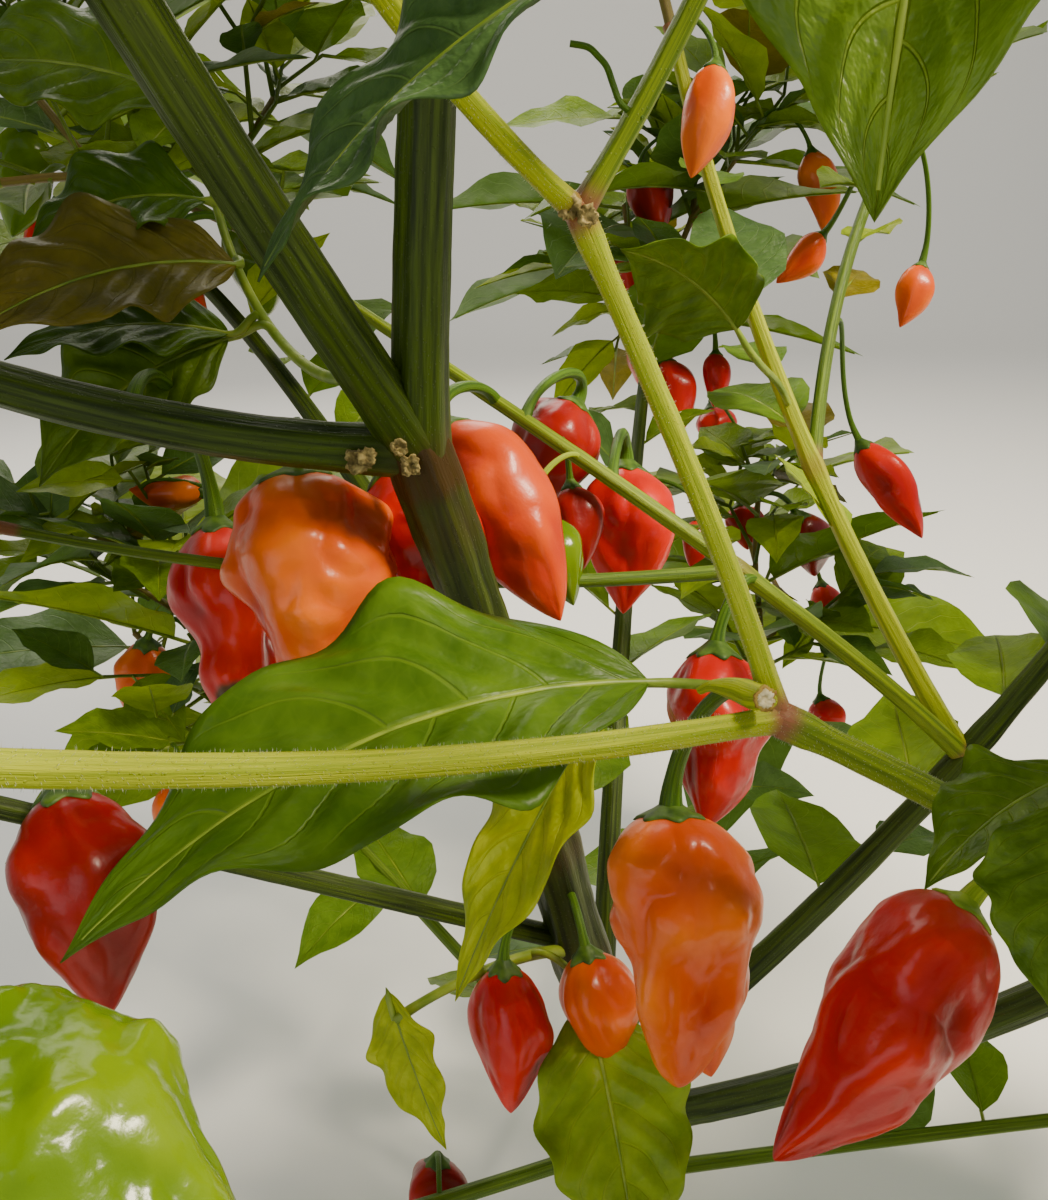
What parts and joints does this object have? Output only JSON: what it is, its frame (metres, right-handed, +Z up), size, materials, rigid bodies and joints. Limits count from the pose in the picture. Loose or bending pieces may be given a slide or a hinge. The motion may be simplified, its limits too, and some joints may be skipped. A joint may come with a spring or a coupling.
{
  "type": "chilli pepper plant",
  "caption": "Bushy chilli pepper plant with a forked green stem, broad pointed leaves and hanging wrinkled pods in orange, red and lime, rooted at ground level.",
  "frame": {"origin": "the middle of the flat cut under the stem, at ground level", "axes": "+Z up; -Y is the front, where a gap in the foliage shows the main fork; +X is to the right seen from the front"},
  "size_m": [0.7837, 0.6987, 0.6716],
  "materials": {
    "trunk_bark": "greyish green ridged bark, corky near the ground",
    "green_stem": "satin green ribbed stem, yellower where it is young",
    "foliage": "satin leaf green, paler below",
    "leaf": "satin leaf green with pale veins",
    "pod_orange": "glossy wrinkled skin",
    "pod_red": "glossy wrinkled skin",
    "pod_dark_red": "glossy wrinkled skin",
    "pod_lime": "glossy wrinkled skin, unripe"
  },
  "bodies": {
    "root": {"trunk": "trunk_bark", "bough_upright": "green_stem", "bough_upper_left": "green_stem", "bough_left": "green_stem", "bough_low_left": "green_stem", "bough_right": "green_stem", "bough_front": "green_stem", "bough_front_left": "green_stem", "bough_front_up": "green_stem", "bough_front_up_left": "green_stem", "bough_front_up_right": "green_stem", "bough_back_right": "green_stem", "bough_middle_right": "green_stem", "bough_middle": "green_stem", "bough_back": "green_stem", "bough_back_left": "green_stem", "pod_orange_wrinkled": "pod_orange", "pod_red_waisted": "pod_red", "pod_red_behind_fork": "pod_red", "pod_slanting": "pod_orange", "pod_dark_red": "pod_dark_red", "pod_small_lime": "pod_lime", "pod_red_middle": "pod_red", "pod_red_under_node": "pod_red", "pod_two_horned": "pod_orange", "pod_orange_behind": "pod_orange", "pod_large_red": "pod_red", "pod_low_red": "pod_red", "pod_left_dark": "pod_dark_red", "pod_near_lime": "pod_lime", "leaf_large": "leaf", "leaf_near": "leaf", "leaf_centre_right": "leaf", "leaf_sunlit": "leaf", "spray_left": "leaf", "spray_right_edge": "leaf", "spray_low": "leaf", "spray_top_right": "leaf", "foliage_left": "foliage", "foliage_upper_left": "foliage", "foliage_top": "foliage", "foliage_low_left": "foliage", "foliage_right": "foliage", "foliage_front_left": "foliage", "foliage_upper_front": "foliage", "foliage_upper_right": "foliage", "foliage_back_right": "foliage", "foliage_upper_back": "foliage", "foliage_middle": "foliage", "foliage_back": "foliage", "foliage_back_left": "foliage", "foliage_fork_right": "foliage", "foliage_cross": "foliage", "foliage_middle_right": "foliage", "foliage_low_back": "foliage", "foliage_low_back_left": "foliage", "foliage_low_right": "foliage", "foliage_low_front": "foliage", "foliage_low_front_right": "foliage", "foliage_low_front_left": "foliage"}
  },
  "joints": []
}
